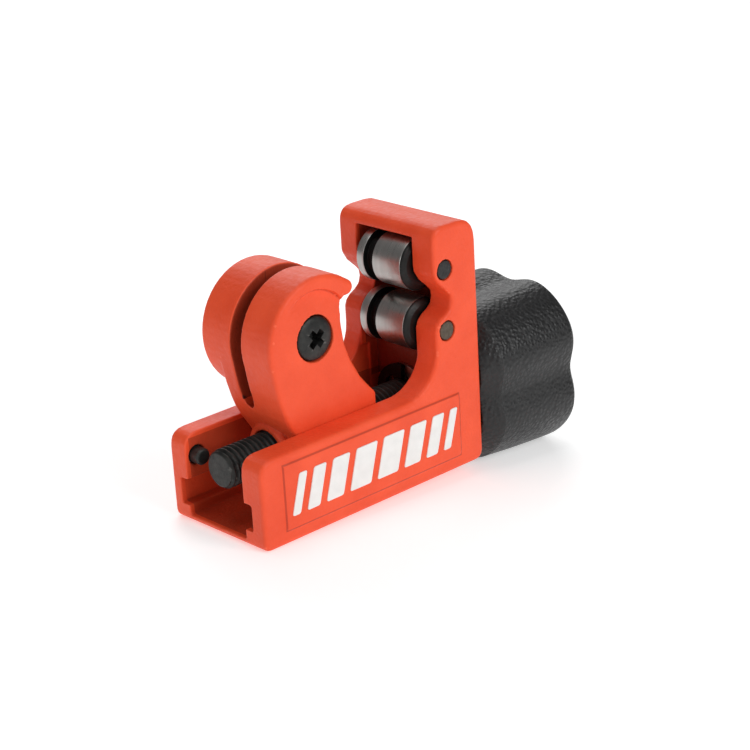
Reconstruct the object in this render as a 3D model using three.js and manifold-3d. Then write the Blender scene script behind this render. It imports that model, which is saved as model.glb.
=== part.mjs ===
// Mini pipe cutter. Millimetres, +Z up. The feed screw runs along +X from the open end of
// the channel (x = 0) to the knob; -Y is the label side and z = 0 is the casting's underside.
// The finished assembly is moved by half the casting's length, so its origin is the centre of
// that underside.
import * as THREE from 'three';
import { mergeVertices } from 'three/addons/utils/BufferGeometryUtils.js';
import Module from 'manifold-3d';

const wasm = await Module();
wasm.setup();

// ---- driving dimensions ---------------------------------------------------------------
const BODY_L = 60, BODY_H = 52.5, NEAR_Y = -14.2, FAR_Y = 13.3;
const WALL_H = 18.5;             // top of the channel walls
const CHANNEL_X1 = 50, CHANNEL_TOP = 23.5;   // where the slide runs in under the upright
const FRONT_X = 48;              // face of the upright that carries the rollers
const FLOOR_Z = 1.5, SLOT_Z0 = 3.6, SLOT_Z1 = 9.1, LIP_Y = 8.45, SLOT_Y = 10.7;
const POCKET_Y = 8.1, POCKET_BACK = 57, POCKET_TOP = 49.8, BEARING_X = 52.5, BEARING_TOP = 24.4;
const AXIS_Z = 13.0;             // feed screw axis, on y = 0
const SCREW_R = 4, ROOT_R = 3.35, PITCH = 1.25, SCREW_X0 = 1.6, THREAD_X1 = 49.6, SCREW_X1 = 81;
const ROLLER_X = 51, ROLLER_Z = [43.4, 30.6], ROLLER_R = 5.6, PIN_R = 2;
const ROLLER_Y0 = -7.75, ROLLER_Y1 = 5.75, GROOVE = [0.9, 3.6];
const STOP_X = 2.9, STOP_Z = 13.6, STOP_R = 1.7;
const AXLE_X = 21.2, AXLE_Z = 36.2, AXLE_R = 2.3, AXLE_HEAD_R = 4.4;
const WHEEL_R = 9, WHEEL_Y = 2.2, SAW_W = 3.3;
const SLIDE_NEAR = -8.2, SLIDE_FAR = 8.2, EAR_FAR = 12.7;
const HEAD_X = 22.65, HEAD_Z = 35.4, HEAD_R = 13.1;
const CLIP_X = 50.6, CLIP_T = 0.9, CLIP_R = 7.15, CLIP_GROOVE_R = 3.1;
const KNOB_X0 = 60.5, KNOB_X1 = 87, KNOB_R = 19.8, FLUTE = 3.1, FLUTE_WIDTH = 0.32;
const GAP = 0.3;                 // clearance between parts that touch or run in one another
const FIT = 0.15;                // clearance of the roller pins in the casting

// ---- solids ---------------------------------------------------------------------------
function solid(geometry) {
  geometry.deleteAttribute('normal');
  geometry.deleteAttribute('uv');
  const merged = mergeVertices(geometry, 1e-4);
  const vertProperties = new Float32Array(merged.attributes.position.array);
  const triVerts = new Uint32Array(merged.index.array);
  if (signedVolume(vertProperties, triVerts) < 0) triVerts.reverse();
  return new wasm.Manifold(new wasm.Mesh({ numProp: 3, vertProperties, triVerts }));
}

function signedVolume(v, t) {
  const [a, b, c] = [0, 1, 2].map(() => new THREE.Vector3());
  let sum = 0;
  for (let i = 0; i < t.length; i += 3) {
    a.fromArray(v, 3 * t[i]); b.fromArray(v, 3 * t[i + 1]); c.fromArray(v, 3 * t[i + 2]);
    sum += a.dot(b.cross(c)) / 6;
  }
  return sum;
}

function geometryOf(manifold) {
  const { vertProperties, triVerts } = manifold.getMesh();
  const g = new THREE.BufferGeometry();
  g.setAttribute('position', new THREE.BufferAttribute(new Float32Array(vertProperties), 3));
  g.setIndex(new THREE.BufferAttribute(new Uint32Array(triVerts), 1));
  g.computeVertexNormals();
  return g;
}

const minus = (base, ...cutters) => cutters.reduce((m, c) => m.subtract(c), base);
const plus = (base, ...others) => others.reduce((m, o) => m.add(o), base);

// an (x, z) outline drawn out along Y, its edges rounded by `round`
function alongY(shape, y0, y1, round = 0, curve = 6) {
  const g = new THREE.ExtrudeGeometry(shape, {
    depth: y1 - y0 - 2 * round, curveSegments: curve, bevelEnabled: round > 0,
    bevelThickness: round, bevelSize: round, bevelOffset: -round, bevelSegments: 3,
  });
  return solid(g.rotateX(Math.PI / 2).translate(0, y1 - round, 0));
}

// a (y, z) outline drawn out along X
function alongX(shape, x0, x1, round = 0, curve = 6) {
  const g = new THREE.ExtrudeGeometry(shape, {
    depth: x1 - x0 - 2 * round, curveSegments: curve, bevelEnabled: round > 0,
    bevelThickness: round, bevelSize: round, bevelOffset: -round, bevelSegments: 3,
  });
  const turn = new THREE.Matrix4().makeBasis(
    new THREE.Vector3(0, 1, 0), new THREE.Vector3(0, 0, 1), new THREE.Vector3(1, 0, 0));
  return solid(g.applyMatrix4(turn).translate(x0 + round, 0, 0));
}

const block = (x0, x1, y0, y1, z0, z1) => solid(
  new THREE.BoxGeometry(x1 - x0, y1 - y0, z1 - z0)
    .translate((x0 + x1) / 2, (y0 + y1) / 2, (z0 + z1) / 2));

// profile points are [position along the axis, radius]
function turned(points, segments) {
  return new THREE.LatheGeometry(points.map(([s, r]) => new THREE.Vector2(r, s)), segments);
}
const turnedX = (points, y, z, n = 32) =>
  solid(turned(points, n).rotateZ(-Math.PI / 2).translate(0, y, z));
const turnedY = (points, x, z, n = 32) => solid(turned(points, n).translate(x, 0, z));
const rod = (s0, s1, r) => [[s0, 0], [s0, r], [s1, r], [s1, 0]];
const rodChamfered = (s0, s1, r, c) =>
  [[s0, 0], [s0, r - c], [s0 + c, r], [s1 - c, r], [s1, r - c], [s1, 0]];
const tube = (s0, s1, r0, r1) => [[s0, r0], [s0, r1], [s1, r1], [s1, r0], [s0, r0]];

// closed outline through points [u, v, corner radius]
function outline(points) {
  const shape = new THREE.Shape();
  const n = points.length;
  const at = (i) => new THREE.Vector2(...points[(i + n) % n]);
  for (let i = 0; i < n; i++) {
    const p = at(i), r = points[i][2] ?? 0;
    if (!r) {
      if (i === 0) shape.moveTo(p.x, p.y); else shape.lineTo(p.x, p.y);
      continue;
    }
    const a = at(i - 1).sub(p), b = at(i + 1).sub(p);
    const cut = Math.min(r / Math.tan(a.angleTo(b) / 2), a.length() * 0.49, b.length() * 0.49);
    const from = a.setLength(cut).add(p), to = b.setLength(cut).add(p);
    if (i === 0) shape.moveTo(from.x, from.y); else shape.lineTo(from.x, from.y);
    shape.quadraticCurveTo(p.x, p.y, to.x, to.y);
  }
  shape.closePath();
  return shape;
}

// points on a circle, degrees a0 to a1
function arc(x, z, r, a0, a1, steps) {
  return Array.from({ length: steps + 1 }, (_, i) => {
    const a = THREE.MathUtils.degToRad(a0 + (i * (a1 - a0)) / steps);
    return [x + r * Math.cos(a), z + r * Math.sin(a)];
  });
}

// ---- body casting: T-slot channel, upright and roller pocket -----------------------------
// shallow waist in the upright between the two rollers, from the top down
const NOTCH = [[FRONT_X, 42.9, 2], [49.3, 40.7], [51.2, 39], [52.4, 37.7], [52.6, 36.4], [52.2, 35],
  [51, 34], [49.6, 33.3], [48.5, 32.3], [FRONT_X, 31]];

// section of the channel with its T-slot, open upwards to height `top`
const channelSection = (top) => outline([
  [-LIP_Y, FLOOR_Z, 0.4], [LIP_Y, FLOOR_Z, 0.4], [LIP_Y, SLOT_Z0], [SLOT_Y, SLOT_Z0, 0.4],
  [SLOT_Y, SLOT_Z1, 0.4], [LIP_Y, SLOT_Z1], [LIP_Y, top], [-LIP_Y, top],
  [-LIP_Y, SLOT_Z1], [-SLOT_Y, SLOT_Z1, 0.4], [-SLOT_Y, SLOT_Z0, 0.4], [-LIP_Y, SLOT_Z0],
]);

function bodyCasting() {
  const side = outline([
    [0, 0, 1.8], [BODY_L, 0, 2.2], [BODY_L, BODY_H, 5], [FRONT_X, BODY_H, 3.2], ...NOTCH,
    ...arc(FRONT_X - 9, WALL_H + 9, 9, 0, -90, 8), [0, WALL_H, 3.4],
  ]);
  const outer = alongY(side, NEAR_Y, FAR_Y, 0.8, 5);
  const cuts = [
    alongX(channelSection(70), -5, FRONT_X, 0, 2),
    alongX(channelSection(CHANNEL_TOP), 40, CHANNEL_X1, 0, 2),
    block(40, BEARING_X, -POCKET_Y, POCKET_Y, FLOOR_Z, BEARING_TOP + 1),
    block(40, POCKET_BACK, -POCKET_Y, POCKET_Y, BEARING_TOP, POCKET_TOP),
    turnedX(rod(40, 70, SCREW_R + GAP), 0, AXIS_Z, 40),
    turnedY(rod(SLIDE_FAR, 20, STOP_R + GAP), STOP_X, STOP_Z, 24),
  ];
  for (const z of ROLLER_Z) cuts.push(turnedY(rod(-20, 20, PIN_R + FIT), ROLLER_X, z, 28));
  return minus(plus(outer, labelPanel()), ...cuts);
}

// low raised panel on the label side
function labelPanel() {
  const panel = outline([[5.5, 2.9, 1], [53.3, 2.9, 1], [53.3, 16.5, 1], [5.5, 16.5, 1]]);
  return alongY(panel, NEAR_Y - 0.3, NEAR_Y + 1, 0, 3);
}

// ---- stop pin in the far wall -------------------------------------------------------------
const stopPin = () => turnedY(rodChamfered(6.3, FAR_Y - 0.2, STOP_R, 0.3), STOP_X, STOP_Z, 24);

// ---- slide casting: forked head, neck and T-foot -----------------------------------------
const NECK_LEFT = [[17.8, 10.2], [16.8, 14.3], [15.3, 16.7], [13.8, 19.0], [12.7, 21.2],
  [12.0, 23.1], [11.0, 26.5], [10.4, 29.5], [10.05, 31.6], [9.75, 33.2]];
const NECK_RIGHT = [[28.9, 33], [30.2, 29.4], [32.6, 25.0], [34.9, 22.2, 1], [36.4, 20.6, 1.2],
  [36.4, 10.2]];
const EAR_EDGE = [[29.2, 42.5, 0.6], [28.55, 40.6], [28.4, 37], [28.9, 33], [29.6, 30.9],
  [30.2, 29.4]];

// round head, from the lower right clockwise to the tip of the beak
const headOutline = () => outline([
  ...arc(HEAD_X, HEAD_Z, HEAD_R, -56, -298, 34), ...arc(30.35, 44.1, 1.6, 48, -88, 6), ...EAR_EDGE,
]);

function slideCasting() {
  const neck = outline([...NECK_LEFT, [14, 35], [22, 36], [27, 34], ...NECK_RIGHT]);
  const foot = outline([
    [-SLIDE_FAR + 0.05, FLOOR_Z + GAP, 0.5], [SLIDE_FAR - 0.05, FLOOR_Z + GAP, 0.5],
    [SLIDE_FAR - 0.05, SLOT_Z0 + GAP], [SLOT_Y - GAP, SLOT_Z0 + GAP, 0.3],
    [SLOT_Y - GAP, SLOT_Z1 - GAP, 0.3], [SLIDE_FAR - 0.05, SLOT_Z1 - GAP],
    [SLIDE_FAR - 0.05, 11], [-SLIDE_FAR + 0.05, 11], [-SLIDE_FAR + 0.05, SLOT_Z1 - GAP],
    [-SLOT_Y + GAP, SLOT_Z1 - GAP, 0.3], [-SLOT_Y + GAP, SLOT_Z0 + GAP, 0.3],
    [-SLIDE_FAR + 0.05, SLOT_Z0 + GAP],
  ]);
  const boss = turnedX([[13.6, 0], [13.6, 5.2], [14.4, 5.9], [24, 5.9], [24, 0]], 0, AXIS_Z, 36);
  const body = plus(
    alongY(headOutline(), SLIDE_NEAR, EAR_FAR, 0.9, 2),
    alongY(neck, SLIDE_NEAR, SLIDE_FAR, 0.9, 3),
    alongX(foot, 17.8, 36.4, 0, 2),
    boss);
  return minus(body, ...slideCuts());
}

function slideCuts() {
  const w = SAW_W / 2, r = 17;
  const rim = [0, 1, 2, 3, 4].map((i) => {
    const a = -Math.PI / 2 + i * (Math.PI / 4);
    return [WHEEL_Y + w * Math.sin(a), r - w + w * Math.cos(a)];
  });
  const saw = turnedY([[WHEEL_Y - w, 0], ...rim, [WHEEL_Y + w, 0]], AXLE_X + 0.6, AXLE_Z, 52);
  // shallow face round the axle, cut deepest towards the beak
  const relief = solid(turned(rod(-3, 0, 9.7), 40).rotateZ(0.12).rotateY(-0.96)
    .translate(AXLE_X, SLIDE_NEAR - 0.2, AXLE_Z));
  return [
    saw, relief,
    turnedY(rod(-20, SLIDE_NEAR + 2.9, AXLE_HEAD_R + GAP), AXLE_X, AXLE_Z, 40),
    turnedY(rod(-20, EAR_FAR - 4.2, AXLE_R + GAP), AXLE_X, AXLE_Z, 32),
    turnedX(rod(0, 60, SCREW_R + GAP), 0, AXIS_Z, 40),
  ];
}

// ---- cutter wheel and its axle screw ------------------------------------------------------
function cutterWheel() {
  const y = WHEEL_Y, bore = AXLE_R + GAP;
  return turnedY([
    [y - 1.35, bore], [y - 1.35, 3.5], [y - 0.75, 4.1], [y - 0.6, 7.4], [y, WHEEL_R],
    [y + 0.6, 7.4], [y + 0.75, 4.1], [y + 1.35, 3.5], [y + 1.35, bore], [y - 1.35, bore],
  ], AXLE_X, AXLE_Z, 44);
}

// domed head with a cross recess, as on the axle and knob screws
function crossRecess(depth, at, along) {
  const arm = (a, b) => new THREE.BoxGeometry(a, depth, b);
  const wedge = new THREE.CylinderGeometry(1.25, 0.5, depth, 16);
  return [arm(4.4, 0.95), arm(0.95, 4.4), wedge].map((g) => along(g, at));
}

function axleScrew() {
  const y0 = SLIDE_NEAR - 0.35, under = SLIDE_NEAR + 2.8;
  const screw = turnedY([
    [y0, 0], [y0, 2.6], [y0 + 0.25, 3.7], [y0 + 0.85, AXLE_HEAD_R], [under, AXLE_HEAD_R],
    [under, AXLE_R], [EAR_FAR - 4.9, AXLE_R], [EAR_FAR - 4.5, AXLE_R - 0.4], [EAR_FAR - 4.5, 0],
  ], AXLE_X, AXLE_Z, 36);
  const turn = 0.32;
  const place = (g, y) => solid(g.rotateY(turn).translate(AXLE_X, y, AXLE_Z));
  return minus(screw, ...crossRecess(1.5, y0 + 0.7, place));
}

// ---- rollers and their pins ---------------------------------------------------------------
function roller(z) {
  const r = ROLLER_R, [g0, g1] = GROOVE, bore = PIN_R + GAP;
  return turnedY([
    [ROLLER_Y0, bore], [ROLLER_Y0, 4.3], [ROLLER_Y0 + 0.5, r - 0.35], [ROLLER_Y0 + 0.9, r],
    [g0 - 0.15, r], [g0, r - 0.15], [g0, 4.3], [g1, 4.3], [g1, r - 0.15], [g1 + 0.15, r],
    [ROLLER_Y1 - 0.4, r], [ROLLER_Y1, r - 0.4], [ROLLER_Y1, bore], [ROLLER_Y0, bore],
  ], ROLLER_X, z, 36);
}

const rollerPin = (z) =>
  turnedY(rodChamfered(NEAR_Y + 0.15, FAR_Y - 0.15, PIN_R, 0.25), ROLLER_X, z, 28);

// ---- feed screw with its retaining clip and thrust washers --------------------------------
// rod with a helical ridge: each row follows the helix, three of them to a pitch
function helicalRod(x0, x1) {
  const m = 12, radii = [ROOT_R, SCREW_R, SCREW_R], offsets = [0, 0.4, 0.6], rank = radii.length;
  const rows = rank * (Math.ceil((x1 - x0) / PITCH) + 2) + 1;
  const position = [], index = [];
  for (let i = 0; i < rows; i++) {
    for (let j = 0; j < m; j++) {
      const a = (2 * Math.PI * j) / m, r = radii[i % rank];
      const x = PITCH * (Math.floor(i / rank) + offsets[i % rank] + j / m);
      position.push(x0 - PITCH + x, -r * Math.sin(a), r * Math.cos(a));
    }
  }
  const id = (i, j) => (j < m ? i * m + j : (i + rank) * m);
  const last = rows - rank - 1;
  for (let i = 0; i < last; i++) {
    for (let j = 0; j < m; j++) {
      const [a, b, c, d] = [id(i, j), id(i + 1, j), id(i + 1, j + 1), id(i, j + 1)];
      index.push(a, b, c, a, c, d);
    }
  }
  for (const [row, flip] of [[0, false], [last, true]]) {
    const rim = [];
    for (let j = 0; j <= m; j++) rim.push(id(row, j));
    for (let k = rank - 1; k > 0; k--) rim.push((row + k) * m);
    const hub = position.length / 3;
    position.push(x0 - PITCH + PITCH * (row / rank + 0.6), 0, 0);
    rim.forEach((v, k) => {
      const w = rim[(k + 1) % rim.length];
      index.push(...(flip ? [hub, w, v] : [hub, v, w]));
    });
  }
  const g = new THREE.BufferGeometry();
  g.setAttribute('position', new THREE.Float32BufferAttribute(position, 3));
  g.setIndex(index);
  return solid(g.translate(0, 0, AXIS_Z));
}

function feedScrew() {
  const sleeve = turnedX(rodChamfered(SCREW_X0, THREAD_X1, SCREW_R + 0.05, 0.5), 0, AXIS_Z, 40);
  const thread = helicalRod(SCREW_X0, THREAD_X1).intersect(sleeve);
  const shank = turnedX([
    [THREAD_X1 - 0.4, 0], [THREAD_X1 - 0.4, SCREW_R - 0.2], [CLIP_X - 0.1, SCREW_R],
    [CLIP_X - 0.1, CLIP_GROOVE_R], [CLIP_X + CLIP_T + 0.1, CLIP_GROOVE_R],
    [CLIP_X + CLIP_T + 0.1, SCREW_R], [64, SCREW_R], [64, 3.4], [SCREW_X1, 3.4], [SCREW_X1, 0],
  ], 0, AXIS_Z, 32);
  const flat = block(64.2, SCREW_X1 + 1, -5, 5, AXIS_Z + 2.4, AXIS_Z + 6);
  const tapped = turnedX(rod(70, SCREW_X1 + 1, 2), 0, AXIS_Z, 24);
  return minus(plus(thread, shank), flat, tapped);
}

// flat spring-steel clip with three inner prongs and an open mouth
function retainingClip() {
  const s = new THREE.Shape(), mouth = 0.5, inner = 5.1, prong = CLIP_GROOVE_R + 0.1;
  const at = (r, a) => [r * Math.cos(a), r * Math.sin(a)];
  const end = 2 * Math.PI - mouth;
  s.moveTo(...at(CLIP_R, mouth));
  s.absarc(0, 0, CLIP_R, mouth, end, false);
  s.lineTo(...at(prong + 0.2, end - 0.04));
  const prongs = [end - 0.5, Math.PI + 0.35, Math.PI - 0.35, mouth + 0.5];
  s.absarc(0, 0, prong, end - 0.1, prongs[0], true);
  s.lineTo(...at(inner, prongs[0] - 0.12));
  s.absarc(0, 0, inner, prongs[0] - 0.12, prongs[1] + 0.1, true);
  s.lineTo(...at(prong, prongs[1]));
  s.absarc(0, 0, prong, prongs[1], prongs[2], true);
  s.lineTo(...at(inner, prongs[2] - 0.1));
  s.absarc(0, 0, inner, prongs[2] - 0.1, prongs[3] + 0.12, true);
  s.lineTo(...at(prong, prongs[3]));
  s.absarc(0, 0, prong, prongs[3], mouth + 0.1, true);
  s.closePath();
  const g = new THREE.ExtrudeGeometry(s, { depth: CLIP_T, bevelEnabled: false, curveSegments: 18 });
  const turn = new THREE.Matrix4().makeBasis(
    new THREE.Vector3(0, 1, 0), new THREE.Vector3(0, 0, 1), new THREE.Vector3(1, 0, 0));
  return solid(g.rotateZ(2.15).applyMatrix4(turn).translate(CLIP_X, 0, AXIS_Z));
}

const washer = (x0, x1, r) => turnedX(tube(x0, x1, SCREW_R + GAP, r), 0, AXIS_Z, 36);

// ---- knob ---------------------------------------------------------------------------------
// radius of the four-lobed grip at angle a, with a flute every quarter turn
function gripRadius(a) {
  const q = THREE.MathUtils.euclideanModulo(a + Math.PI / 4, Math.PI / 2) - Math.PI / 4;
  return KNOB_R - FLUTE * Math.exp(-((q / FLUTE_WIDTH) ** 2));
}

// rings along the knob: [x, share of the full radius, inset]
const KNOB_RINGS = [
  [KNOB_X0, 0.78, 0], [KNOB_X0 + 3.2, 0.915, 0], [KNOB_X0 + 3.9, 0.932, 0], [KNOB_X0 + 5, 0.94, 0],
  [74, 0.975, 0], [83.6, 1, 0], [84.8, 1, 0.28], [85.9, 1, 1.05], [86.6, 1, 2.1], [KNOB_X1, 1, 3.6],
];

function knobGrip() {
  const n = 60, position = [], index = [];
  for (const [x, share, inset] of KNOB_RINGS) {
    for (let j = 0; j < n; j++) {
      const a = (2 * Math.PI * j) / n, r = gripRadius(a) * share - inset;
      position.push(x, r * Math.sin(a), AXIS_Z + r * Math.cos(a));
    }
  }
  const rows = KNOB_RINGS.length;
  for (let i = 0; i < rows - 1; i++) {
    for (let j = 0; j < n; j++) {
      const k = (j + 1) % n, [a, b, c, d] = [i * n + j, i * n + k, (i + 1) * n + k, (i + 1) * n + j];
      index.push(a, b, c, a, c, d);
    }
  }
  position.push(KNOB_X0, 0, AXIS_Z, KNOB_X1, 0, AXIS_Z);
  for (let j = 0; j < n; j++) {
    const k = (j + 1) % n, last = (rows - 1) * n;
    index.push(rows * n, k, j, rows * n + 1, last + j, last + k);
  }
  const g = new THREE.BufferGeometry();
  g.setAttribute('position', new THREE.Float32BufferAttribute(position, 3));
  g.setIndex(index);
  return solid(g);
}

function knob() {
  const hub = turnedX(rod(KNOB_X0 - 1, SCREW_X1 + 0.3, 3.4 + GAP), 0, AXIS_Z, 32);
  const flat = block(64.6, SCREW_X1 + 3, -5, 5, AXIS_Z + 2.4 + GAP, AXIS_Z + 6);
  const collar = turnedX(rod(KNOB_X0 - 1, 64.4, SCREW_R + GAP), 0, AXIS_Z, 32);
  const washerSeat = turnedX(rod(KNOB_X0 - 1, 61.5, 8.6), 0, AXIS_Z, 36);
  const screwSeat = turnedX(rod(SCREW_X1 + 0.25, 90, 6.4), 0, AXIS_Z, 36);
  return minus(knobGrip(), hub.subtract(flat), collar, washerSeat, screwSeat);
}

function knobScrew() {
  const x0 = SCREW_X1 + 1.5;
  const screw = turnedX([
    [72, 0], [72, 1.3], [72.4, 1.7], [x0, 1.7], [x0, 4], [x0 + 1.6, 4], [x0 + 2.4, 3.2],
    [x0 + 2.7, 2], [x0 + 2.7, 0],
  ], 0, AXIS_Z, 32);
  const place = (g, x) => solid(g.rotateZ(-Math.PI / 2).translate(x, 0, AXIS_Z));
  return minus(screw, ...crossRecess(1.5, x0 + 2, place));
}

const knobWasher = () => turnedX(tube(SCREW_X1 + 0.4, SCREW_X1 + 1.4, 2, 5.8), 0, AXIS_Z, 36);

// ---- assembly ------------------------------------------------------------------------------
const finish = {
  casting: { color: 0xf2603f, roughness: 0.55, metalness: 0 },
  steel: { color: 0xaaa39a, roughness: 0.3, metalness: 1 },
  blackened: { color: 0x2f3231, roughness: 0.45, metalness: 0.8 },
  pinSteel: { color: 0x5b5753, roughness: 0.5, metalness: 0.9 },
  plastic: { color: 0x2b2b2b, roughness: 0.6, metalness: 0 },
};

const pieces = [
  ['body_casting', bodyCasting(), 'casting'],
  ['stop_pin', stopPin(), 'blackened'],
  ['roller_pin_upper', rollerPin(ROLLER_Z[0]), 'pinSteel'],
  ['roller_pin_lower', rollerPin(ROLLER_Z[1]), 'pinSteel'],
  ['roller_upper', roller(ROLLER_Z[0]), 'steel'],
  ['roller_lower', roller(ROLLER_Z[1]), 'steel'],
  ['slide_casting', slideCasting(), 'casting'],
  ['cutter_wheel', cutterWheel(), 'steel'],
  ['axle_screw', axleScrew(), 'blackened'],
  ['feed_screw', feedScrew(), 'blackened'],
  ['retaining_clip', retainingClip(), 'blackened'],
  ['thrust_washer_inner', washer(51.65, 52.35, 6.9), 'steel'],
  ['thrust_washer_outer', washer(60.15, 61.15, 8), 'steel'],
  ['knob_grip', knob(), 'plastic'],
  ['knob_washer', knobWasher(), 'steel'],
  ['knob_screw', knobScrew(), 'blackened'],
];

const group = new THREE.Group();
group.name = 'pipe_cutter';
for (const [name, manifold, look] of pieces) {
  const centred = manifold.translate([-BODY_L / 2, 0, 0]);
  const mesh = new THREE.Mesh(geometryOf(centred), new THREE.MeshStandardMaterial(finish[look]));
  mesh.name = name;
  group.add(mesh);
}

export default group;
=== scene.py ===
"""Looks of the mini pipe cutter: detailed pieces, materials, floor, light and camera.

Sizes are in millimetres where a name says so, and in metres once they reach Blender. The row's
origin is the centre of the casting's underside, +X runs along the feed screw to the knob, -Y is
the label side.
"""

import math

import bmesh
import bpy
from mathutils import Matrix, Vector


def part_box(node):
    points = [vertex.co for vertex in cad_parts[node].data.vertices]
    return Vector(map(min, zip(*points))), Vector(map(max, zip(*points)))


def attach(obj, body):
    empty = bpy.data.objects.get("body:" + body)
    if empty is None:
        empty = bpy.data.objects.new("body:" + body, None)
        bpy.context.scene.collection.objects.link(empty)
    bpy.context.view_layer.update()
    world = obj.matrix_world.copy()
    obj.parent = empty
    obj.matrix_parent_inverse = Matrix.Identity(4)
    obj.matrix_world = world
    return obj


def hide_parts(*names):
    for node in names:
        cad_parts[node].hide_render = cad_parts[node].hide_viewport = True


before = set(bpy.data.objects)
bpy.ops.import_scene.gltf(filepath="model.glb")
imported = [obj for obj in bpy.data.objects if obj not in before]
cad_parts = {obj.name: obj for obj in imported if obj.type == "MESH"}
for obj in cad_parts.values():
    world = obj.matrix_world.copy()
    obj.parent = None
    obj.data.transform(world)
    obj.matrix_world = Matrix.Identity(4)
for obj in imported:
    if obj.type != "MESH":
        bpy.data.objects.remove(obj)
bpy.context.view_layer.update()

MM = 0.001
X_END = -30.0                       # the channel's open end
SCREW_Z = 13.0                      # feed screw axis, on y = 0
PITCH, CREST_R, ROOT_R = 1.25, 4.0, 3.36
THREAD_START, THREAD_END = X_END + 1.62, X_END + 49.6
CLIP_GROOVE, CLIP_GROOVE_R = (X_END + 50.5, X_END + 51.6), 3.1
SEAT_START, FLAT_START, SCREW_END = X_END + 64, X_END + 64.2, X_END + 81
SEAT_R, FLAT_Z = 3.4, 2.4           # knob seat on the screw, and the flat that drives the knob


# ---- meshes ----------------------------------------------------------------------------------
def new_object(name, bm, material, smooth_angle=35):
    """A mesh object from bm, smooth shaded except across edges sharper than smooth_angle."""
    mesh = bpy.data.meshes.new(name)
    bmesh.ops.recalc_face_normals(bm, faces=bm.faces)
    limit = math.radians(smooth_angle)
    for edge in bm.edges:
        edge.smooth = edge.is_manifold and edge.calc_face_angle(0) < limit
    for face in bm.faces:
        face.smooth = True
    bm.to_mesh(mesh)
    bm.free()
    obj = bpy.data.objects.new(name, mesh)
    bpy.context.scene.collection.objects.link(obj)
    for one in material if isinstance(material, list) else [material]:
        obj.data.materials.append(one)
    return obj


def place(obj, body, node=None):
    """Puts obj on a body, in place of a CAD node where one is given."""
    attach(obj, body)
    if node:
        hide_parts(node)


def rings_mesh(rings, closed=True):
    """Quads between rings of points. Closed joins the last ring to the first, else both get caps."""
    bm = bmesh.new()
    rows = [[bm.verts.new(p) for p in ring] for ring in rings]
    for low, high in zip(rows, rows[1:] + (rows[:1] if closed else [])):
        n = len(low)
        for j in range(n):
            k = (j + 1) % n
            bm.faces.new((low[j], low[k], high[k], high[j]))
    if closed:
        return bm
    for row in (rows[0], rows[-1]):
        centre = bm.verts.new(sum((v.co for v in row), Vector()) / len(row))
        for j, v in enumerate(row):
            bm.faces.new((centre, v, row[(j + 1) % len(row)]))
    return bm


def circle(axis, at, radius, centre, n):
    """n points round `axis` ("X" or "Y") at distance `at` along it; millimetres in, metres out."""
    points = []
    for j in range(n):
        a = 2 * math.pi * j / n
        u, v = radius * math.cos(a), radius * math.sin(a)
        p, q = centre[0] + u, centre[1] + v
        points.append(Vector((at, p, q) if axis == "X" else (p, at, q)) * MM)
    return points


def rounded(profile, radius):
    """A closed (s, r) profile with its corners rounded, where there is room."""
    out, n, steps = [], len(profile), 3
    for i in range(n):
        p = Vector(profile[i])
        a, b = Vector(profile[i - 1]) - p, Vector(profile[(i + 1) % n]) - p
        cut = min(radius, 0.45 * a.length, 0.45 * b.length)
        start, end = p + a.normalized() * cut, p + b.normalized() * cut
        for k in range(steps + 1):
            t = k / steps
            out.append(tuple((1 - t) ** 2 * start + 2 * t * (1 - t) * p + t * t * end))
    return out


def turned(name, axis, centre, profile, material, radius, n=96):
    """A ring-shaped turned piece: closed profile of (position along the axis, radius), rounded."""
    bm = rings_mesh([circle(axis, s, r, centre, n) for s, r in rounded(profile, radius)])
    return new_object(name, bm, material)


def turned_solid(name, axis, centre, profile, material, n=96):
    """A turned piece that reaches the axis: open profile from one end face to the other."""
    bm = rings_mesh([circle(axis, s, r, centre, n) for s, r in profile], closed=False)
    return new_object(name, bm, material)


def apply_modifiers(obj):
    graph = bpy.context.evaluated_depsgraph_get()
    mesh = bpy.data.meshes.new_from_object(obj.evaluated_get(graph))
    obj.modifiers.clear()
    obj.data = mesh


def cad_copy(name, node, material):
    """A welded copy of a CAD node's mesh, to be worked on."""
    bm = bmesh.new()
    bm.from_mesh(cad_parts[node].data)
    bmesh.ops.remove_doubles(bm, verts=bm.verts, dist=1e-6)
    return new_object(name, bm, material)


def cast_skin(name, node, material, voxel, soften):
    """A CAD casting with the soft, slightly full edges that a coated casting has."""
    obj = cad_copy(name, node, material)
    remesh = obj.modifiers.new("remesh", "REMESH")
    remesh.mode = "VOXEL"
    remesh.voxel_size = voxel * MM
    remesh.use_smooth_shade = True
    smooth = obj.modifiers.new("smooth", "SMOOTH")
    smooth.factor = 0.5
    smooth.iterations = soften
    apply_modifiers(obj)
    obj.data.polygons.foreach_set("use_smooth", [True] * len(obj.data.polygons))
    return obj


def add_bevel(obj, width, segments=3, angle=30):
    """Rounds obj's edges sharper than angle, by width in millimetres."""
    bevel = obj.modifiers.new("bevel", "BEVEL")
    bevel.width = width * MM
    bevel.segments = segments
    bevel.limit_method = "ANGLE"
    bevel.angle_limit = math.radians(angle)


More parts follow.
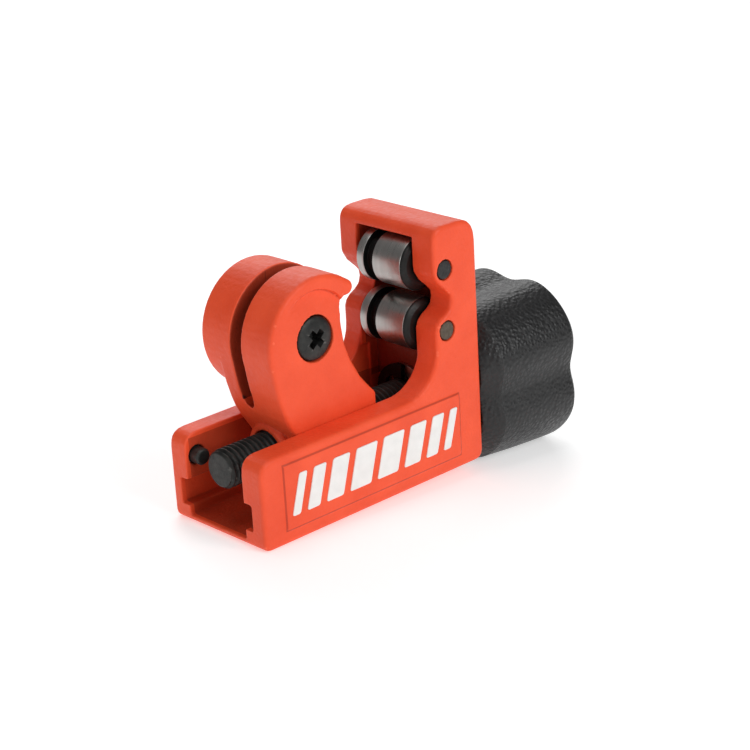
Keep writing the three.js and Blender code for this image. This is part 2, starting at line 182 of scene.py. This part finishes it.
# ---- material nodes --------------------------------------------------------------------------
class Surface:
    """A Principled material, with short calls for the nodes that vary it."""

    def __init__(self, name, color, roughness, metallic=0.0):
        self.material = bpy.data.materials.new(name)
        self.material.use_nodes = True
        self.tree = self.material.node_tree
        self.shader = self.tree.nodes["Principled BSDF"]
        self.set("Base Color", (*color, 1))
        self.set("Roughness", roughness)
        self.set("Metallic", metallic)
        self.coords = self.tree.nodes.new("ShaderNodeTexCoord").outputs["Object"]

    def set(self, socket, value):
        self.shader.inputs[socket].default_value = value
        return self

    def link(self, source, target):
        self.tree.links.new(source, target)

    def stretched(self, scale):
        node = self.tree.nodes.new("ShaderNodeMapping")
        node.inputs["Scale"].default_value = scale
        self.link(self.coords, node.inputs["Vector"])
        return node.outputs["Vector"]

    def noise(self, size_mm, detail=3, roughness=0.5, stretch=None):
        """Noise with features about size_mm across."""
        node = self.tree.nodes.new("ShaderNodeTexNoise")
        node.inputs["Scale"].default_value = 1 / (size_mm * MM)
        node.inputs["Detail"].default_value = detail
        node.inputs["Roughness"].default_value = roughness
        self.link(self.stretched(stretch) if stretch else self.coords, node.inputs["Vector"])
        return node.outputs["Fac"]

    def cells(self, size_mm):
        """Distance to the middle of soft-edged cells about size_mm across."""
        node = self.tree.nodes.new("ShaderNodeTexVoronoi")
        node.feature = "SMOOTH_F1"
        node.inputs["Scale"].default_value = 1 / (size_mm * MM)
        node.inputs["Smoothness"].default_value = 0.4
        self.link(self.coords, node.inputs["Vector"])
        return node.outputs["Distance"]

    def math(self, operation, a, b=0.0):
        node = self.tree.nodes.new("ShaderNodeMath")
        node.operation = operation
        for socket, value in zip(node.inputs, (a, b)):
            if isinstance(value, (int, float)):
                socket.default_value = value
            else:
                self.link(value, socket)
        return node.outputs[0]

    def span(self, source, low, high, start=0.3, end=0.7):
        """source from start..end mapped to low..high."""
        node = self.tree.nodes.new("ShaderNodeMapRange")
        limits = {"From Min": start, "From Max": end, "To Min": low, "To Max": high}
        for socket, value in limits.items():
            node.inputs[socket].default_value = value
        self.link(source, node.inputs["Value"])
        return node.outputs["Result"]

    def colors(self, source, stops):
        """source through a ramp of (position, colour) stops."""
        node = self.tree.nodes.new("ShaderNodeValToRGB")
        ramp = node.color_ramp
        while len(ramp.elements) < len(stops):
            ramp.elements.new(0.5)
        for element, (position, color) in zip(ramp.elements, stops):
            element.position = position
            element.color = (*color, 1)
        self.link(source, node.inputs["Fac"])
        return node.outputs["Color"]

    def mix(self, factor, a, b):
        node = self.tree.nodes.new("ShaderNodeMix")
        node.data_type = "RGBA"
        self.link(factor, node.inputs["Factor"])
        for socket, value in ((node.inputs["A"], a), (node.inputs["B"], b)):
            if isinstance(value, tuple):
                socket.default_value = (*value, 1)
            else:
                self.link(value, socket)
        return node.outputs["Result"]

    def edges(self, low, high):
        """0 to 1 as the pointiness runs from low to high. Flats have 0.5 and outer edges more."""
        pointiness = self.tree.nodes.new("ShaderNodeNewGeometry").outputs["Pointiness"]
        return self.span(pointiness, 0, 1, low, high)

    def inside(self, low, high, soft=0.15):
        """1 inside the box from low to high in the row's millimetres, 0 outside."""
        split = self.tree.nodes.new("ShaderNodeSeparateXYZ")
        self.link(self.coords, split.inputs["Vector"])
        mask = 1.0
        for along, a, b in zip(split.outputs, low, high):
            away = self.math("ABSOLUTE", self.math("SUBTRACT", along, (a + b) / 2 * MM))
            edge = (b - a) / 2 * MM
            mask = self.math("MULTIPLY", self.span(away, 1, 0, edge - soft * MM, edge), mask)
        return mask

    def base(self, source):
        self.link(source, self.shader.inputs["Base Color"])
        return self

    def rough(self, source):
        self.link(source, self.shader.inputs["Roughness"])
        return self

    def bump(self, source, height_mm):
        """Adds relief of height_mm to whatever relief is there already."""
        node = self.tree.nodes.new("ShaderNodeBump")
        node.inputs["Distance"].default_value = height_mm * MM
        node.inputs["Strength"].default_value = 1.0
        self.link(source, node.inputs["Height"])
        previous = self.shader.inputs["Normal"].links
        if previous:
            self.link(previous[0].from_socket, node.inputs["Normal"])
        self.link(node.outputs["Normal"], self.shader.inputs["Normal"])
        return self


def powder_coat(name, shaded_hollows, line=None):
    """Orange coat, with painted shade in the hollows and along a panel's outline, a painted
    highlight on outer edges and painted shade in creases.
    """
    s = Surface(name, (0.86, 0.085, 0.026), 0.45)
    s.set("Specular IOR Level", 0.28).set("Coat Weight", 0.05).set("Coat Roughness", 0.3)
    tone = s.colors(s.noise(9, 4), [(0.3, (0.83, 0.077, 0.023)), (0.7, (0.92, 0.098, 0.032))])
    # painted highlight: a lighter orange on outer edges
    tone = s.mix(s.edges(0.52, 0.60), tone, (0.93, 0.13, 0.055))
    # painted shade: a dark orange in creases
    tone = s.mix(s.edges(0.485, 0.42), tone, (0.36, 0.024, 0.008))
    # painted shade: near-black tone inside each hollow's box, by its share
    for low, high, depth in shaded_hollows:
        tone = s.mix(s.math("MULTIPLY", s.inside(low, high), depth), tone, (0.040, 0.010, 0.006))
    # painted shade: a dark line along the panel's outline
    if line:
        low, high, width = line
        inner = [v + width for v in low], [v - width for v in high]
        inner[0][1], inner[1][1] = low[1], high[1]
        shade_rim = s.math("SUBTRACT", s.inside(low, high), s.inside(*inner))
        tone = s.mix(s.math("MULTIPLY", shade_rim, 0.55), tone, (0.25, 0.018, 0.008))
    s.base(tone)
    s.rough(s.span(s.noise(0.9, 3), 0.38, 0.54))
    s.bump(s.noise(4.5, 2), 0.12)
    s.bump(s.noise(0.75, 2, 0.45), 0.10)
    return s.material


def ground_steel(name, axis, tone, roughness):
    """Steel with fine lines left by turning or grinding round `axis`."""
    s = Surface(name, tone, roughness, 1.0)
    along = [0.03, 0.03, 0.03]
    along["XYZ".index(axis)] = 1.0
    lines = s.noise(0.12, 2, 0.6, tuple(along))
    bands = s.noise(1.6, 3, 0.6, tuple(along))
    dark = tuple(0.80 * c for c in tone)
    s.base(s.mix(s.span(bands, 0, 1), tone, dark))
    s.rough(s.span(lines, roughness - 0.07, roughness + 0.10))
    s.bump(lines, 0.004)
    return s.material


def black_oxide(name="black_oxide", wear=0.35, shade=1.0):
    s = Surface(name, (0.020, 0.021, 0.020), 0.38, 0.5)
    worn = s.math("MULTIPLY", s.edges(0.53, 0.62), s.span(s.noise(1.1, 4), 0, wear))
    stops = [(0.35, (0.014, 0.015, 0.014)), (0.7, (0.034, 0.034, 0.031))]
    tone = s.colors(s.noise(1.8, 4), [(at, tuple(shade * c for c in color)) for at, color in stops])
    s.base(s.mix(worn, tone, (0.30, 0.29, 0.27)))
    s.rough(s.span(s.noise(0.5, 4), 0.32, 0.56))
    s.bump(s.noise(0.35, 3), 0.015)
    return s.material


def pin_steel(name, tone):
    s = Surface(name, tone, 0.42, 0.9)
    s.base(s.mix(s.span(s.noise(0.7, 4), 0, 1), tone, tuple(1.7 * c for c in tone)))
    s.rough(s.span(s.noise(0.4, 3), 0.32, 0.58))
    s.bump(s.noise(0.3, 3), 0.01)
    return s.material


def grained_plastic():
    s = Surface("grained_plastic", (0.009, 0.009, 0.0095), 0.45)
    s.set("Specular IOR Level", 0.47)
    tone = s.colors(s.noise(6, 3), [(0.3, (0.006, 0.006, 0.0064)), (0.7, (0.011, 0.011, 0.0114))])
    # painted sheen: a lighter grey on outer edges
    s.base(s.mix(s.edges(0.52, 0.62), tone, (0.035, 0.035, 0.036)))
    pebbles = s.cells(0.85)
    s.rough(s.span(pebbles, 0.30, 0.50, 0.1, 0.8))
    s.bump(pebbles, -0.17)
    s.bump(s.noise(0.42, 3, 0.6), 0.07)
    return s.material


def white_paint():
    s = Surface("white_paint", (0.86, 0.86, 0.84), 0.42)
    s.base(s.mix(s.span(s.noise(2.5, 4), 0, 1), (0.87, 0.87, 0.85), (0.80, 0.80, 0.78)))
    s.rough(s.span(s.noise(0.8, 3), 0.36, 0.52))
    s.bump(s.noise(0.8, 2), 0.03)
    return s.material


# painted shade in the hollows as (low corner, high corner, share of dark tone), and painted shade
# along the label panel's outline
CHANNEL_SHADE = ((-29.0, -10.75, 1.3), (27.5, 10.75, 17.6), 0.45)
ROLLER_POCKET_SHADE = ((19.0, -8.2, 16.0), (27.2, 8.2, 49.9), 0.75)
WHEEL_SLOT_SHADE = [((-26.0, 0.45, 23.6), (-10.0, 3.95, 52.0), 0.93),
              ((-10.3, 0.45, 18.9), (3.5, 3.95, 52.0), 0.93)]
PANEL_SHADE_LINE = ((-24.75, -15.0, 2.65), (23.55, -14.0, 16.75), 0.35)

BODY_COAT = powder_coat("body_powder_coat", [CHANNEL_SHADE, ROLLER_POCKET_SHADE], PANEL_SHADE_LINE)
SLIDE_COAT = powder_coat("slide_powder_coat", WHEEL_SLOT_SHADE)
# black oxide at 0.35 of its tone, no worn edges: painted shade for the screws' cross recesses, the
# rollers' bores, grooves and ends, and the retaining clip
SHADED_BLACK_OXIDE = black_oxide("black_oxide_painted_shade", 0.0, 0.35)
BLACK = black_oxide()
WHITE = white_paint()
PLASTIC = grained_plastic()


# ---- castings --------------------------------------------------------------------------------
def build_castings():
    voxel, soften = ((0.20, 5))
    body = cast_skin("body_casting_coated", "body_casting", BODY_COAT, voxel, soften)
    place(body, "body", "body_casting")
    slide = cast_skin("slide_casting_coated", "slide_casting", SLIDE_COAT, voxel, soften)
    place(slide, "slide", "slide_casting")


def build_label_mark():
    """Raised slanted bars in white on the label panel: a plain decoration."""
    low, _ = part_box("body_casting")
    panel_y, z0, z1 = low.y / MM, 5.6, 13.9
    proud, slant, row_length = 0.2, 2.4, 45.5
    widths = [2.0, 3.2, 4.4, 5.6, 5.6, 4.4, 3.2, 2.0]
    gap = (row_length - slant - sum(widths)) / (len(widths) - 1)
    x = X_END + 6.9
    for i, width in enumerate(widths):
        corners = [(x, z0), (x + width, z0), (x + width + slant, z1), (x + slant, z1)]
        bm = bmesh.new()
        rings = [[bm.verts.new(Vector((u, y, v)) * MM) for u, v in corners]
                 for y in (panel_y + proud, panel_y - proud)]
        bm.faces.new(rings[0])
        bm.faces.new(rings[1])
        for j in range(4):
            k = (j + 1) % 4
            bm.faces.new((rings[0][j], rings[0][k], rings[1][k], rings[1][j]))
        upright = [e for e in bm.edges if abs(e.verts[0].co.y - e.verts[1].co.y) > 1e-6]
        bmesh.ops.bevel(bm, geom=upright, offset=0.45 * MM, segments=4, affect="EDGES", profile=0.5)
        bar = new_object(f"label_bar_{i + 1}", bm, WHITE)
        add_bevel(bar, 0.07)
        place(bar, "body")
        x += width + gap


# ---- rollers, pins and cutter wheel ----------------------------------------------------------
def centre_and_radius(node):
    """(x, z) of the axis along Y in millimetres, radius, and the two ends along Y."""
    low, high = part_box(node)
    middle = (low + high) / 2 / MM
    return (middle.x, middle.z), (high.x - low.x) / 2 / MM, low.y / MM, high.y / MM


def build_rollers():
    steel = ground_steel("roller_steel", "Y", (0.50, 0.49, 0.47), 0.33)
    groove, bore, core = (0.9, 3.6), 2.3, 4.3
    for place_name in ("upper", "lower"):
        node = f"roller_{place_name}"
        centre, r, y0, y1 = centre_and_radius(node)
        profile = [
            (y0, bore), (y0, core), (y0 + 0.15, core + 0.2), (y0 + 0.5, r - 0.35), (y0 + 0.9, r),
            (groove[0], r), (groove[0], core), (groove[1], core), (groove[1], r),
            (y1 - 0.35, r), (y1, r - 0.35), (y1, bore),
        ]
        obj = turned(f"{node}_ground", "Y", centre, profile, [SHADED_BLACK_OXIDE, steel], 0.1, 128)
        # outside face in ground steel, other faces in black oxide darkened as painted shade
        for face in obj.data.polygons:
            middle = face.center / MM
            radius = math.hypot(middle.x - centre[0], middle.z - centre[1])
            face.material_index = 1 if radius > r - 0.12 else 0
        place(obj, node, node)


def build_pins():
    tones = {"upper": (0.034, 0.033, 0.033), "lower": (0.085, 0.068, 0.052)}
    for place_name, tone in tones.items():
        node = f"roller_pin_{place_name}"
        centre, r, y0, y1 = centre_and_radius(node)
        profile = [
            (y0 + 0.10, 0.3), (y0 + 0.04, 0.9), (y0, r - 0.35), (y0 + 0.05, r - 0.16),
            (y0 + 0.28, r), (y1 - 0.28, r), (y1 - 0.05, r - 0.16), (y1, r - 0.35), (y1 - 0.10, 0.3),
        ]
        steel = pin_steel(f"pin_{place_name}", tone)
        obj = turned_solid(f"{node}_turned", "Y", centre, profile, steel, 64)
        place(obj, "body", node)
    centre, r, y0, y1 = centre_and_radius("stop_pin")
    profile = [(y0, 0.4), (y0, r - 0.45), (y0 + 0.10, r - 0.22), (y0 + 0.4, r), (y1 - 0.3, r),
               (y1, r - 0.3), (y1, 0.4)]
    stop = turned_solid("stop_pin_turned", "Y", centre, profile, BLACK, 64)
    place(stop, "body", "stop_pin")


def build_cutter_wheel():
    centre, r, y0, y1 = centre_and_radius("cutter_wheel")
    mid = (y0 + y1) / 2
    half = [(1.35, 2.6), (1.35, 3.5), (0.78, 4.0), (0.70, 5.2), (0.60, 7.3), (0.07, r - 0.1)]
    profile = [(mid - t, q) for t, q in half] + [(mid, r)]
    profile += [(mid + t, q) for t, q in reversed(half)]
    steel = ground_steel("wheel_steel", "Y", (0.50, 0.49, 0.48), 0.22)
    wheel = turned("cutter_wheel_ground", "Y", centre, profile, steel, 0.04, 128)
    place(wheel, "wheel", "cutter_wheel")


# ---- screws ----------------------------------------------------------------------------------
def cross_recess(name, axis, centre, at, depth, turn, arm, width):
    """A tapering Phillips cross, to cut out of a head. `depth` points into the head."""
    bm = bmesh.new()
    levels = [(-math.copysign(0.6, depth), arm, width), (depth * 0.5, arm * 0.62, width * 0.85),
              (depth, arm * 0.34, width * 0.7)]
    for angle in (turn, turn + math.pi / 2):
        c, s = math.cos(angle), math.sin(angle)
        rings = []
        for t, long, wide in levels:
            ring = []
            for u, v in ((-long, -wide), (long, -wide), (long, wide), (-long, wide)):
                p, q = (u * c - v * s) / 2 + centre[0], (u * s + v * c) / 2 + centre[1]
                ring.append(Vector((at + t, p, q) if axis == "X" else (p, at + t, q)) * MM)
            rings.append([bm.verts.new(p) for p in ring])
        for low, high in zip(rings, rings[1:]):
            for j in range(4):
                bm.faces.new((low[j], low[(j + 1) % 4], high[(j + 1) % 4], high[j]))
        bm.faces.new(rings[0])
        bm.faces.new(rings[-1])
    # the cross carries black oxide darkened as painted shade into the head's recess
    return new_object(name, bm, SHADED_BLACK_OXIDE)


def recessed(head, cutter):
    """head with cutter taken out of it, then the cutter is removed."""
    cut = head.modifiers.new("recess", "BOOLEAN")
    cut.operation = "DIFFERENCE"
    cut.solver = "EXACT"
    cut.use_self = True
    cut.material_mode = "TRANSFER"
    cut.object = cutter
    apply_modifiers(head)
    bpy.data.objects.remove(cutter)
    return head


def build_axle_screw():
    low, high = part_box("axle_screw")
    centre = ((low.x + high.x) / 2 / MM, (low.z + high.z) / 2 / MM)
    y0, y1, head_r, shank_r, under = low.y / MM, high.y / MM, 4.4, 2.3, -5.4
    dome = [(y0 + 0.85 * (1 - math.cos(a)), head_r * math.sin(a) ** 0.9)
            for a in [math.pi / 2 * k / 10 for k in range(1, 11)]]
    profile = dome + [(y0 + 1.1, head_r), (under - 0.1, head_r), (under, head_r - 0.1),
                      (under, shank_r), (y1 - 0.4, shank_r), (y1, shank_r - 0.4)]
    screw = turned_solid("axle_screw_domed", "Y", centre, profile, BLACK)
    cutter = cross_recess("axle_recess", "Y", centre, y0, 2.3, math.radians(42), 4.9, 1.6)
    add_bevel(recessed(screw, cutter), 0.06, 2, 40)
    place(screw, "slide", "axle_screw")


def thread_radius(x, turn_share):
    """Radius of a 60 degree thread: x along the axis, turn_share from 0 to 1 round it."""
    phase = (x / PITCH - turn_share) % 1.0
    flank = min(abs(phase - 0.5) / 0.5, 1.0)
    return CREST_R - (CREST_R - ROOT_R) * min(max((flank - 0.14) / 0.68, 0), 1)


def screw_radius(x, turn_share):
    """Radius of the feed screw at x: chamfered thread, plain shank, clip groove, knob seat."""
    if x < THREAD_END:
        return min(thread_radius(x, turn_share), 3.45 + 0.9 * (x - THREAD_START))
    if CLIP_GROOVE[0] < x < CLIP_GROOVE[1]:
        return CLIP_GROOVE_R
    return CREST_R if x < SEAT_START else SEAT_R


def ring_about_screw(x, radii, top=100):
    """Points round the feed screw at x, one for each radius; nothing higher than top over it."""
    points = []
    for j, r in enumerate(radii):
        a = 2 * math.pi * j / len(radii)
        points.append(Vector((x, -r * math.sin(a), SCREW_Z + min(r * math.cos(a), top))) * MM)
    return points


def build_feed_screw():
    n, step = 64, PITCH / 14
    along = CLIP_GROOVE[0] - 0.1 - THREAD_START
    xs = [THREAD_START + i * step for i in range(int(along / step))]
    shoulders = [*CLIP_GROOVE, SEAT_START, FLAT_START]
    xs += [at + side for at in shoulders for side in (-0.01, 0.01)] + [SCREW_END]
    rings = [ring_about_screw(THREAD_START - 0.02, [3.2] * n)]
    for x in xs:
        top = FLAT_Z if x > FLAT_START else CREST_R
        rings.append(ring_about_screw(x, [screw_radius(x, j / n) for j in range(n)], top))
    screw = new_object("feed_screw_threaded", rings_mesh(rings, closed=False), BLACK, 50)
    place(screw, "knob", "feed_screw")


def build_clip_and_washers():
    # the clip in black oxide darkened as painted shade
    clip = cad_copy("retaining_clip_stamped", "retaining_clip", SHADED_BLACK_OXIDE)
    dissolve = clip.modifiers.new("flat", "DECIMATE")
    dissolve.decimate_type = "DISSOLVE"
    dissolve.angle_limit = math.radians(1)
    apply_modifiers(clip)
    add_bevel(clip, 0.12, 3, 50)
    place(clip, "knob", "retaining_clip")
    plated = ground_steel("washer_steel", "X", (0.50, 0.49, 0.47), 0.33)
    owners = {"thrust_washer_inner": "body", "thrust_washer_outer": "body", "knob_washer": "knob"}
    for node, body in owners.items():
        low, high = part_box(node)
        outer = (high.y - low.y) / 2 / MM
        bore = 2.0 if node == "knob_washer" else CREST_R + 0.3
        x0, x1 = low.x / MM, high.x / MM
        profile = [(x0, bore), (x0, outer), (x1, outer), (x1, bore)]
        ring = turned(f"{node}_stamped", "X", (0, SCREW_Z), profile, plated, 0.12)
        place(ring, body, node)


def build_knob_screw():
    low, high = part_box("knob_screw")
    x0, x1, seat, head_r = low.x / MM, high.x / MM, X_END + 82.5, 4.0
    dome = [(x1 - 1.1 * (1 - math.cos(a)), head_r * math.sin(a) ** 0.9)
            for a in [math.pi / 2 * k / 10 for k in range(10, 0, -1)]]
    shank = [(x0, 1.2), (x0 + 0.4, 1.7), (seat, 1.7), (seat, head_r - 0.1), (seat + 0.1, head_r)]
    profile = shank + dome
    screw = turned_solid("knob_screw_domed", "X", (0, SCREW_Z), profile, BLACK)
    cutter = cross_recess("knob_recess", "X", (0, SCREW_Z), x1, -2.0, math.radians(12), 4.6, 1.5)
    add_bevel(recessed(screw, cutter), 0.05, 2, 40)
    place(screw, "knob", "knob_screw")


# ---- knob ------------------------------------------------------------------------------------
KNOB_R, FLUTE, FLUTE_WIDTH = 19.78, 3.1, 0.32


def grip_radius(angle):
    """Four lobes: the full radius less a smooth flute every quarter turn."""
    q = (angle + math.pi / 4) % (math.pi / 2) - math.pi / 4
    return KNOB_R - FLUTE * math.exp(-((q / FLUTE_WIDTH) ** 2))


def smooth_rings(rings, steps):
    """Catmull-Rom points between the given (x, share, inset) rings."""
    out = []
    for i in range(len(rings) - 1):
        p0, p1, p2 = rings[max(i - 1, 0)], rings[i], rings[i + 1]
        p3 = rings[min(i + 2, len(rings) - 1)]
        for k in range(steps):
            t = k / steps
            out.append(tuple(0.5 * (2 * b + (c - a) * t + (2 * a - 5 * b + 4 * c - d) * t * t
                                    + (3 * b - a - 3 * c + d) * t ** 3)
                             for a, b, c, d in zip(p0, p1, p2, p3)))
    return out + [rings[-1]]


def build_knob():
    """The grip by (x from the open end, share of its radius, inset), then its dished bore."""
    n = 320
    front, back = 60.5, 87.0
    grip = smooth_rings([
        (front, 0.76, 0), (front + 0.15, 0.785, 0), (front + 1.6, 0.85, 0), (front + 3.2, 0.912, 0),
        (front + 3.9, 0.932, 0), (front + 5, 0.94, 0), (74, 0.975, 0), (83.6, 1, 0),
        (84.8, 1, 0.28), (85.9, 1, 1.05), (86.6, 1, 2.1), (back - 0.12, 1, 3.0), (back, 1, 4.0),
    ], 4)
    outline = [grip_radius(2 * math.pi * j / n) for j in range(n)]
    rings = [ring_about_screw(X_END + x, [max(r * share - inset, 6) for r in outline])
             for x, share, inset in grip]
    dished = [(back, 7.4), (back - 0.06, 6.9), (back - 0.35, 6.5), (back - 0.8, 6.4), (81.45, 6.4),
              (81.3, 6.2), (81.25, 3.75), (64.4, 3.75), (64.4, 4.3), (61.5, 4.3), (61.5, 8.5),
              (61.4, 8.6), (front + 0.1, 8.6), (front, 8.8), (front, 11.5)]
    rings += [ring_about_screw(X_END + x, [r] * n) for x, r in dished]
    knob = new_object("knob_grip_moulded", rings_mesh(rings), PLASTIC, 40)
    place(knob, "knob", "knob_grip")


# ---- stage -----------------------------------------------------------------------------------
def floor_slope(pivot_x):
    """Angle of the surface the tool rests on: it touches the channel's open end and the knob."""
    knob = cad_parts["knob_grip"].data.vertices
    return max(math.atan2(-v.co.z, v.co.x - pivot_x) for v in knob)


def build_floor():
    pivot_x = (X_END + 1.2) * MM
    bm = bmesh.new()
    bmesh.ops.create_grid(bm, x_segments=24, y_segments=24, size=3)
    surface = Surface("studio_floor", (0.80, 0.80, 0.80), 0.6)
    mottle = surface.span(surface.noise(60, 3), 0, 1)
    surface.base(surface.mix(mottle, (0.81, 0.81, 0.81), (0.79, 0.79, 0.79)))
    surface.set("Emission Color", (1, 1, 1, 1)).set("Emission Strength", 0.45)
    floor = new_object("studio_floor", bm, surface.material)
    floor.matrix_world = (Matrix.Translation((pivot_x, 0, -0.00002))
                          @ Matrix.Rotation(floor_slope(pivot_x), 4, "Y"))


LIGHT_TARGET = Vector((0.01, 0, 0.02))


def area_light(name, size, power, position):
    """A square soft light aimed at the tool."""
    data = bpy.data.lights.new(name, "AREA")
    data.energy = power
    data.shape = "RECTANGLE"
    data.size = data.size_y = size
    light = bpy.data.objects.new(name, data)
    light.location = position
    light.rotation_euler = (LIGHT_TARGET - Vector(position)).to_track_quat("-Z", "Y").to_euler()
    bpy.context.scene.collection.objects.link(light)


def build_light():
    world = bpy.data.worlds.new("studio")
    world.use_nodes = True
    world.node_tree.nodes["Background"].inputs["Color"].default_value = (1, 1, 1, 1)
    world.node_tree.nodes["Background"].inputs["Strength"].default_value = 0.17
    bpy.context.scene.world = world
    area_light("front_softbox", 0.5, 3.8, (0.12, -0.75, 0.45))
    area_light("left_softbox", 0.35, 0.85, (-0.75, -0.15, 0.30))
    area_light("top_softbox", 0.6, 1.8, (0.0, 0.10, 0.85))
    area_light("back_softbox", 0.7, 3.0, (0.50, 0.60, 0.50))
    bpy.context.scene.view_settings.view_transform = "Standard"


def build_camera():
    azimuth, elevation, roll = (math.radians(a) for a in (-42.53, 21.0, -3.28))
    target, distance = Vector((0.01277, -0.00093, 0.02042)), 0.42481
    back = Vector((math.sin(azimuth) * math.cos(elevation),
                   -math.cos(azimuth) * math.cos(elevation), math.sin(elevation)))
    level = Vector((math.cos(azimuth), math.sin(azimuth), 0))
    rise = back.cross(level)
    right = math.cos(roll) * level + math.sin(roll) * rise
    up = math.cos(roll) * rise - math.sin(roll) * level
    data = bpy.data.cameras.new("camera")
    data.lens, data.sensor_width = 100.0, 36.0
    data.clip_start, data.clip_end = 0.01, 20
    camera = bpy.data.objects.new("camera", data)
    camera.matrix_world = Matrix((right, up, back)).transposed().to_4x4()
    camera.location = target + back * distance
    bpy.context.scene.collection.objects.link(camera)
    bpy.context.scene.camera = camera


build_camera()
build_light()
build_floor()
build_castings()
build_label_mark()
build_rollers()
build_pins()
build_cutter_wheel()
build_axle_screw()
build_feed_screw()
build_clip_and_washers()
build_knob_screw()
build_knob()
